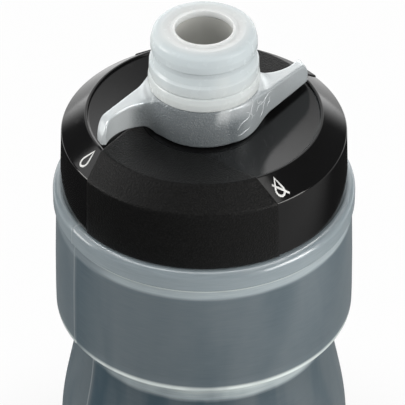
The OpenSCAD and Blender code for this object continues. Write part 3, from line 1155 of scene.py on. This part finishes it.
@dataclass
class Dial:
    """The winged lock dial with its rigid spout."""

    hub_r: float = 13.3
    hub_bottom: float = 174.55
    hub_top: float = 184.9
    shutter_z: float = 182.2
    post_r: float = 9.55
    wing_tangent: float = 12.5
    wing_lean: float = 24.45
    wing_reach: float = 28.0
    hollow: Point = (18.8, 9.3)
    hollow_r: float = 10.6
    bearing: float = 38.5
    under: Point = (175.6, 0.048)
    over: Point = (183.35, 0.047)
    end_slope: Point3 = (26.2, 182.1, 1.9)
    edge: float = 0.42
    hub_edge: float = 0.7
    bulge: Point = (0.22, 0.34)
    fillet: float = 2.6
    flank: Point3 = (0.245, 0.969, 10.2)
    root: Point3 = (0.78, 0.624, 2.6)
    spout_r: float = 8.5
    spout_bore: float = 6.86
    spout_top: float = 198.2
    tip_bevel: float = 1.0
    cell: float = 0.24
    flow_r: float = 0.1
    flows: tuple[tuple[Point, Point, float], ...] = (
        ((1.2, 184.2), (0.6, 179.0), 0.35), ((-4.0, 178.2), (0.8, 181.8), 0.3),
        ((-3.4, 176.4), (0.4, 177.4), 0.2), ((2.2, 180.6), (10.8, 181.9), 0.45),
        ((8.2, 181.8), (4.6, 177.4), 0.4), ((9.6, 180.6), (8.4, 178.4), 0.3),
        ((-1.0, 182.2), (1.8, 179.8), 0.3), ((3.0, 183.0), (6.0, 180.2), 0.35))

    def distance(self, at: np.ndarray) -> np.ndarray:
        """Distance field of the hub and both wings, with the wings along X.

        Args:
            at: Points.

        Returns:
            Distance at each point.
        """
        x, y, z = at.T
        out = np.hypot(x, y)
        middle = (self.hub_bottom + self.hub_top) / 2.0
        half = (self.hub_top - self.hub_bottom) / 2.0
        swell, draw = self.bulge
        side = self.hub_r + swell - draw * ((z - middle) / half) ** 2
        hub = soft_max(self.hub_edge, out - side, self.hub_bottom - z, z - self.hub_top)
        wings = [self.wing(sign * x, sign * y, z, out) for sign in (1.0, -1.0)]
        whole = soft_min(self.fillet, hub, *wings)
        whole = np.maximum(whole, z - self.hub_top - 0.02)
        hole = np.where(z < self.shutter_z, self.post_r, self.spout_r - 0.3)
        return np.maximum(whole, hole - out)

    def wing(self, x: np.ndarray, y: np.ndarray, z: np.ndarray, out: np.ndarray) -> np.ndarray:
        """Distance field of the wing along +X.

        Args:
            x: First numbers of the points.
            y: Second numbers.
            z: Heights.
            out: Distances from the axis.

        Returns:
            Distance at each point.
        """
        lean = math.radians(self.wing_lean)
        straight = math.sin(lean) * x - math.cos(lean) * y - self.wing_tangent
        end = x - self.wing_reach
        hollow = self.hollow_r - np.hypot(x - self.hollow[0], y - self.hollow[1])
        flank = self.flank[0] * x + self.flank[1] * y - self.flank[2]
        root = soft_max(3.0, self.root[0] * y - self.root[1] * x, self.root[2] - x)
        plan = soft_max(2.0 * self.edge, straight, end)
        corner = (end + hollow + self.tip_bevel) * math.sqrt(0.5)
        near = (end + straight + 0.7 * self.tip_bevel) * math.sqrt(0.5)
        plan = soft_max(0.3, soft_max(0.3, plan, hollow), soft_max(0.3, corner, near))
        plan = soft_max(5.0, soft_max(2.0 * self.edge, plan, flank), root)
        top = z - (self.over[0] - self.over[1] * out)
        start, level, fall = self.end_slope
        end_top = (z - level + fall * (x - start)) / math.hypot(1.0, fall)
        bottom = self.under[0] + self.under[1] * (out - self.hub_r) - z
        return soft_max(1.4 * self.edge, soft_max(1.1, top, end_top), plan, bottom)

    def flow_lines(self, net: Field) -> tuple[np.ndarray, Faces]:
        """Fine raised lines beside the hub, where two flows of plastic met.

        Args:
            net: Field of the dial.

        Returns:
            Points and faces of the threads.
        """
        lean = math.radians(self.wing_lean)
        share = np.linspace(0.0, 1.0, 29)
        around = np.linspace(0.0, 2.0 * math.pi, 7)[:-1]
        rings: list[np.ndarray] = []
        faces: Faces = []
        for (along, up), (far, high), sway in self.flows:
            side = along + (far - along) * share + sway * np.sin(8.0 * share + along)
            height = up + (high - up) * share + 0.6 * sway * np.sin(13.0 * share + up)
            x = self.wing_tangent * math.sin(lean) + side * math.cos(lean)
            y = -self.wing_tangent * math.cos(lean) + side * math.sin(lean)
            spine = net.settle(np.stack([x, y, height], -1), 20)
            normal = net.slope(spine)
            normal /= np.linalg.norm(normal, axis=1)[:, None]
            across = np.cross(np.gradient(spine, axis=0), normal)
            across /= np.linalg.norm(across, axis=1)[:, None]
            wide = self.flow_r * np.sqrt(np.sin(math.pi * np.clip(share, 0.02, 0.98)))
            ring = (np.cos(around)[None, :, None] * normal[:, None]
                    + np.sin(around)[None, :, None] * across[:, None])
            faces += tube_faces(sum(len(known) for known in rings), len(share), len(around))
            rings.append((spine[:, None] + wide[:, None, None] * ring).reshape(-1, 3))
        return np.concatenate(rings), faces

    def build(self) -> None:
        """Make the dial and the spout."""
        wide, deep, spare = self.wing_reach + 1.2, self.hub_r + 1.6, 0.7
        low = (-wide, -deep, self.hub_bottom - spare)
        net = Field(self.distance, low, (wide, deep, self.hub_top + spare), self.cell)
        points, faces = net.net()
        turn = math.radians(self.bearing)
        cos, sin = math.cos(turn), math.sin(turn)
        spin = np.array([[cos, sin, 0.0], [-sin, cos, 0.0], [0.0, 0.0, 1.0]])
        dial = mesh_piece("dial_wings", points @ spin, faces, SILVER)
        dress(dial, Body.DIAL, Slot.SILVER, "lock_dial")
        threads, sides = self.flow_lines(net)
        dress(mesh_piece("flow_marks", threads @ spin, sides, FLOW), Body.DIAL, Slot.SILVER)
        foot, seat, port_r = self.shutter_z, self.shutter_z + 1.6, 5.8
        tube = rounded([
            (self.spout_r, foot, 0.1), (self.spout_r, self.spout_top, 0.5),
            (self.spout_bore, self.spout_top, 0.06), (self.spout_bore, seat, 0.1),
            (port_r, seat, 0.1), (port_r, foot, 0.1)], closed=True)
        dress(lathe("spout_tube", tube, SPOUT, even_turns(96), closed=True), Body.DIAL, Slot.SILVER)


@dataclass
class Mouthpiece:
    """The soft sleeve over the spout."""

    base: float = 185.0
    top: float = 200.0
    foot_r: float = 13.3
    sleeve_r: float = 8.65
    bore_r: float = 6.83
    ledge: float = 198.3

    def outline(self) -> list[Point]:
        """Loop of the sleeve's wall.

        Returns:
            Points of the loop.
        """
        b, t, foot = self.base, self.top, self.foot_r
        return rounded([
            (self.sleeve_r, b, 0.2), (foot, b, 0.3), (foot, b + 1.8, 0.8), (foot - 0.22, b + 3.15, 0.25),
            (foot - 0.48, b + 3.45, 0.15), (foot - 0.26, b + 3.9, 0.35), (foot - 0.36, b + 6.3, 0.3),
            (foot - 0.85, b + 6.9, 0.35), (foot - 1.25, b + 8.6, 0.8), (foot - 1.25, b + 9.9, 0.3),
            (foot - 0.7, b + 10.3, 0.22), (foot - 0.72, b + 12.0, 1.2), (foot - 1.28, t - 0.45, 1.5),
            (9.8, t - 0.12, 1.5), (8.2, t - 0.42, 0.5), (7.5, t - 0.3, 0.25), (7.25, t, 0.14),
            (self.bore_r, t, 0.16), (self.bore_r, self.ledge, 0.05), (self.sleeve_r, self.ledge, 0.1)],
            closed=True)

    def build(self) -> None:
        """Make the sleeve."""
        sleeve = lathe("soft_mouthpiece", self.outline(), SILICONE, even_turns(144), closed=True)
        dress(sleeve, Body.MOUTHPIECE, Slot.SILICONE, "mouthpiece")


def finish_nodes(nodes: dict[str, bpy.types.Object]) -> None:
    """Give the nodes that stay as they are their finishes.

    Args:
        nodes: Objects of the frame by name.
    """
    kept = {"cap_gasket": SEAL, "port_seal": SEAL, "slit_valve": SEAL, "dial_o_ring": RUBBER}
    for name, finish in kept.items():
        slots = nodes[name].data.materials
        slots.clear()
        slots.append(finish.material())
        LOG.info("%s keeps its solid", name)


@dataclass(frozen=True)
class Lamp:
    """A soft box that faces the part.

    Attributes:
        name: Name of the lamp.
        turn: Azimuth from the camera in degrees.
        rise: Elevation in degrees.
        size: Width and height in metres.
        power: Watts.
        colour: Colour of the light.
        mirrored: Whether it shows in reflections.
        lighting: Whether it lights matt surfaces.
        alone: Pieces that it reaches; none means all.
    """

    name: str
    turn: float
    rise: float
    size: Point
    power: float
    colour: Colour = (1.0, 1.0, 1.0)
    mirrored: bool = True
    lighting: bool = True
    alone: tuple[str, ...] = ()


SOFT_WHITE = (1.0, 0.99, 0.97)
KEY_WHITE = (1.0, 0.98, 0.95)
WARM_WHITE = (1.0, 0.96, 0.9)
SHELL = ("bottle_shell",)
SLEEVE = ("soft_mouthpiece",)
LAMPS = (
    Lamp("right_box", 50.0, 54.0, (0.5, 0.4), 1.1, SOFT_WHITE),
    Lamp("top_fill", 0.0, 60.0, (0.5, 0.5), 1.6, SOFT_WHITE, mirrored=False),
    Lamp("right_fill", 40.0, 20.0, (0.4, 0.4), 1.9, mirrored=False),
    Lamp("left_box", -100.0, 44.0, (0.55, 0.7), 1.6),
    Lamp("right_key", 66.0, 14.0, (0.4, 0.4), 3.3, KEY_WHITE),
    Lamp("left_key", -94.0, 12.0, (0.35, 0.35), 2.4, KEY_WHITE),
    Lamp("left_fill", -72.0, 24.0, (0.4, 0.4), 1.3, mirrored=False),
    Lamp("crown", 180.0, 68.0, (1.0, 0.35), 14.0, lighting=False, alone=SHELL),
    Lamp("sleeve_left", -88.0, 22.0, (0.25, 0.25), 2.2, WARM_WHITE, alone=SLEEVE),
    Lamp("sleeve_right", 44.0, 22.0, (0.2, 0.2), 0.8, WARM_WHITE, alone=SLEEVE),
    Lamp("overhead", 0.0, 86.0, (0.6, 0.25), 8.0, lighting=False, alone=("dial_wings", "flow_marks")),
    Lamp("bead_right", 60.0, 7.0, (0.7, 0.4), 7.0, lighting=False, alone=SHELL),
    Lamp("band_right", 54.0, 8.0, (0.35, 0.35), 1.5, mirrored=False, alone=SHELL),
    Lamp("rim_box", 0.0, 86.0, (1.3, 0.3), 7.0, lighting=False, alone=SHELL),
)


@dataclass
class Studio:
    """Floor, light and camera; lengths are metres."""

    azimuth: float = 11.65
    elevation: float = 38.3
    distance: float = 0.700
    aim_z: float = 0.148
    aside: float = 0.000367
    lens: float = 254.6
    sensor: float = 36.0
    lamp_distance: float = 1.0
    lamp_aim: float = 0.15
    floor_half: float = 3.0

    def towards(self, azimuth: float, elevation: float) -> Vector:
        """Unit vector from the part, by azimuth from the front and elevation in degrees."""
        a, e = math.radians(azimuth), math.radians(elevation)
        return Vector((math.sin(a) * math.cos(e), -math.cos(a) * math.cos(e), math.sin(e)))

    def camera(self) -> None:
        """Set the camera where the photograph was taken from."""
        data = bpy.data.cameras.new("camera")
        data.lens, data.sensor_width = self.lens, self.sensor
        data.clip_start, data.clip_end = 0.01, 20.0
        made = bpy.data.objects.new("camera", data)
        a = math.radians(self.azimuth)
        left = Vector((-math.cos(a), -math.sin(a), 0.0)) * self.aside
        out = self.towards(self.azimuth, self.elevation)
        made.location = Vector((0.0, 0.0, self.aim_z)) + out * self.distance + left
        made.rotation_euler = (-out).to_track_quat("-Z", "Y").to_euler()
        bpy.context.scene.collection.objects.link(made)
        bpy.context.scene.camera = made

    def lamp(self, lamp: Lamp) -> None:
        """Add a lamp.

        Args:
            lamp: What it is and where it stands.
        """
        data = bpy.data.lights.new(lamp.name, "AREA")
        data.shape = "RECTANGLE"
        data.size, data.size_y = lamp.size
        data.energy = lamp.power
        data.color = lamp.colour
        made = bpy.data.objects.new(lamp.name, data)
        made.visible_glossy = lamp.mirrored
        made.visible_diffuse = lamp.lighting
        if lamp.alone:
            reach = bpy.data.collections.new(lamp.name)
            for piece in lamp.alone:
                reach.objects.link(bpy.data.objects[piece])
            made.light_linking.receiver_collection = reach
        out = self.towards(self.azimuth + lamp.turn, lamp.rise)
        made.location = Vector((0.0, 0.0, self.lamp_aim)) + out * self.lamp_distance
        made.rotation_euler = (-out).to_track_quat("-Z", "Y").to_euler()
        bpy.context.scene.collection.objects.link(made)

    def floor(self) -> None:
        """Lay a pale floor that reads as white to the camera and keeps a shadow; in reflections it is dark
        near the part and pale far behind, with a painted pool of light to the front right.
        """
        made = bpy.data.materials.new("pale_floor")
        made.use_nodes = True
        graph = Graph(made.node_tree)
        place, mirrored = graph.place(), graph.ray(Ray.GLOSSY)
        far = graph.along(place, -self.towards(self.azimuth, 0.0)).ease(0.22, 0.42)
        # Painted pool of light on the floor, seen only in reflections.
        painted_light_pool = graph.along(place, self.towards(self.azimuth + 48.0, 0.0)).ease(0.1, 0.24)
        pale = far.maximum(1.0 - mirrored).maximum(painted_light_pool * 0.5)
        tone = graph.mix(pale, (0.02, 0.02, 0.02), (0.62, 0.62, 0.62))
        matte = graph.node("ShaderNodeBsdfDiffuse", {}, {"Color": tone})
        glow = graph.node("ShaderNodeEmission", {}, {"Color": (1.0, 1.0, 1.0, 1.0), "Strength": 1.0})
        away = graph.node("ShaderNodeVectorMath", {"operation": "LENGTH"}, {0: place}, "Value")
        shown = graph.seen().maximum(mirrored * far) * (0.97 - away.ease(0.13, 0.05) * 0.3)
        both = graph.node("ShaderNodeMixShader", {}, {0: shown, 1: matte, 2: glow})
        graph.node("ShaderNodeOutputMaterial", {}, {"Surface": both})
        data = bpy.data.meshes.new("floor")
        half = self.floor_half
        corners = [(-half, -half, 0.0), (half, -half, 0.0), (half, half, 0.0), (-half, half, 0.0)]
        data.from_pydata(corners, [], [(0, 1, 2, 3)])
        data.materials.append(made)
        plane = bpy.data.objects.new("floor", data)
        bpy.context.scene.collection.objects.link(plane)

    def world(self) -> None:
        """White backdrop behind the part in a dim room."""
        world = bpy.data.worlds.new("studio")
        world.use_nodes = True
        bpy.context.scene.world = world
        graph = Graph(world.node_tree)
        way = graph.node("ShaderNodeTexCoord", {}, {}, "Generated")
        behind = graph.along(way, -self.towards(self.azimuth, 0.0)).ease(0.35, 0.6)
        beside = abs(graph.along(way, self.towards(self.azimuth + 90.0, 0.0))).ease(0.66, 0.4)
        upward = graph.along(way, Vector((0.0, 0.0, 1.0)))
        across = graph.along(way, self.towards(self.azimuth + 80.0, 0.0))
        sides = 0.2 + across.ease(0.1, 1.0) * 0.45 + across.ease(-0.1, -1.0) * 0.5
        backdrop = behind * beside * (upward.ease(0.8, 0.4) * 1.75 + upward.ease(0.4, 0.1) * 0.8)
        level = graph.seen().maximum(0.05 + backdrop + graph.ray(Ray.DIFFUSE) * sides)
        ground = graph.node("ShaderNodeBackground", {}, {"Color": (1.0, 1.0, 1.0, 1.0), "Strength": level})
        graph.node("ShaderNodeOutputWorld", {}, {"Surface": ground})

    def build(self) -> None:
        """Set up the whole studio."""
        self.camera()
        self.floor()
        self.world()
        for lamp in LAMPS:
            self.lamp(lamp)
        bpy.context.scene.view_settings.view_transform = "Standard"


def main() -> None:
    """Build every class in order."""
    logging.basicConfig(level=logging.INFO, format="%(message)s")
    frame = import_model()
    Bottle().build()
    Cap().build()
    Dial().build()
    Mouthpiece().build()
    Studio().build()
    finish_nodes(frame["nodes"])


if __name__ == "__main__":
    main()
